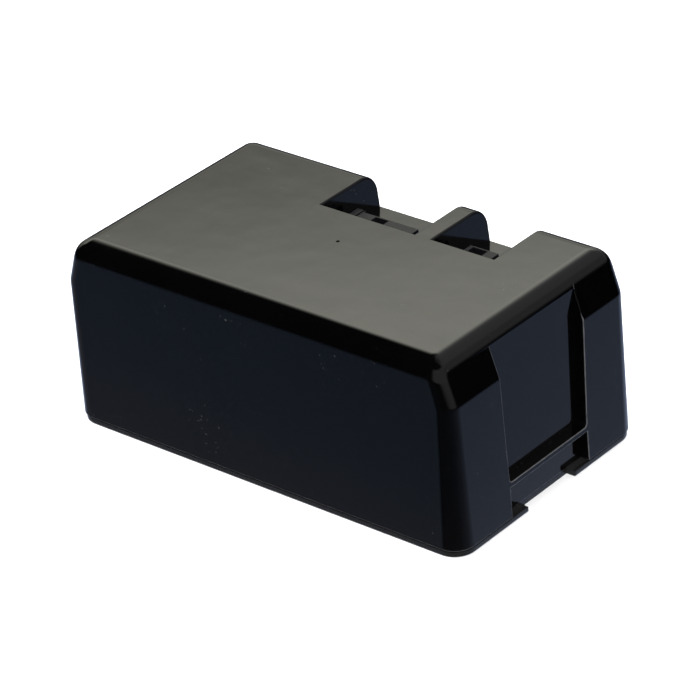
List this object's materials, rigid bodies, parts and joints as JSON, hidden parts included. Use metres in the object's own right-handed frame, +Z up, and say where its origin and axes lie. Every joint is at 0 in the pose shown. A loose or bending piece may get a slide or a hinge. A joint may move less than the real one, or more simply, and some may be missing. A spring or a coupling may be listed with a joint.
{
  "type": "battery box",
  "caption": "Glossy black battery box with a grip recess in each end, a base plate, and open rear wells holding spring contact sockets.",
  "frame": {"origin": "middle of the underside of the base plate", "axes": "+X along the long side towards one grip recess, +Y towards the side the contact wells open to, +Z up"},
  "size_m": [0.165, 0.095, 0.069],
  "materials": {
    "gloss_black": "high gloss moulded",
    "satin_black": "satin moulded",
    "matte_black": "fine matte",
    "contact_metal": "tinned",
    "nickel": "plain strip",
    "cell_wrap": "heat shrink sleeve",
    "holder_grey": "matte",
    "board_green": "solder mask",
    "chip_black": "moulded",
    "header_white": "moulded",
    "fish_paper": "paper",
    "foam_grey": "open foam",
    "wire_red": "sleeve",
    "wire_black": "sleeve",
    "wire_white": "sleeve",
    "screw_steel": "zinc",
    "label_silver": "satin foil"
  },
  "bodies": {
    "housing": {"top_shell": "gloss_black", "base_plate": "satin_black", "label_plate": "label_silver", "contact_block_a": "matte_black", "contact_block_b": "matte_black", "terminal_positive": "contact_metal", "terminal_negative": "contact_metal", "cell_holder_front": "holder_grey", "cell_holder_back": "holder_grey", "insulation_card": "fish_paper", "foam_pad_low": "foam_grey", "board_carrier": "holder_grey", "protection_board": "board_green", "power_switch_1": "chip_black", "power_switch_2": "chip_black", "monitor_chip": "chip_black", "sense_header": "header_white", "pack_fuse": "header_white", "foam_block_left": "foam_grey", "foam_block_right": "foam_grey", "thermistor": "chip_black", "thermistor_lead": "wire_white", "lead_cell_positive": "wire_red", "lead_cell_negative": "wire_black", "lead_out_positive": "wire_red", "lead_out_negative": "wire_black", "sense_ribbon": "wire_white", "cell_1_low": "cell_wrap", "cell_1_high": "cell_wrap", "cell_2_low": "cell_wrap", "cell_2_high": "cell_wrap", "cell_3_low": "cell_wrap", "cell_3_high": "cell_wrap", "cell_4_low": "cell_wrap", "cell_4_high": "cell_wrap", "cell_5_low": "cell_wrap", "cell_5_high": "cell_wrap", "cell_6_low": "cell_wrap", "cell_6_high": "cell_wrap", "cell_7_low": "cell_wrap", "cell_7_high": "cell_wrap", "front_strip_1": "nickel", "front_strip_2": "nickel", "front_strip_3": "nickel", "front_strip_4": "nickel", "back_strip_1": "nickel", "back_strip_2": "nickel", "back_strip_3": "nickel", "back_strip_4": "nickel", "base_screw_1": "screw_steel", "base_screw_2": "screw_steel", "base_screw_3": "screw_steel", "base_screw_4": "screw_steel"},
    "leaf_positive_left": {"spring_leaf_positive_left": "contact_metal"},
    "leaf_positive_right": {"spring_leaf_positive_right": "contact_metal"},
    "leaf_negative_left": {"spring_leaf_negative_left": "contact_metal"},
    "leaf_negative_right": {"spring_leaf_negative_right": "contact_metal"}
  },
  "joints": [
    {"name": "leaf_positive_left_flex", "type": "hinge", "parent": "housing", "child": "leaf_positive_left", "pos_m": [-0.0078, 0.0243, 0.0573], "axis": [0, -1, 0], "range_deg": [0, 5], "stiffness_Nm_per_rad": 0.12},
    {"name": "leaf_positive_right_flex", "type": "hinge", "parent": "housing", "child": "leaf_positive_right", "pos_m": [-0.0047, 0.0243, 0.0573], "axis": [0, 1, 0], "range_deg": [0, 5], "stiffness_Nm_per_rad": 0.12},
    {"name": "leaf_negative_left_flex", "type": "hinge", "parent": "housing", "child": "leaf_negative_left", "pos_m": [0.0328, 0.0243, 0.0573], "axis": [0, -1, 0], "range_deg": [0, 5], "stiffness_Nm_per_rad": 0.12},
    {"name": "leaf_negative_right_flex", "type": "hinge", "parent": "housing", "child": "leaf_negative_right", "pos_m": [0.0364, 0.0243, 0.0573], "axis": [0, 1, 0], "range_deg": [0, 5], "stiffness_Nm_per_rad": 0.12}
  ]
}
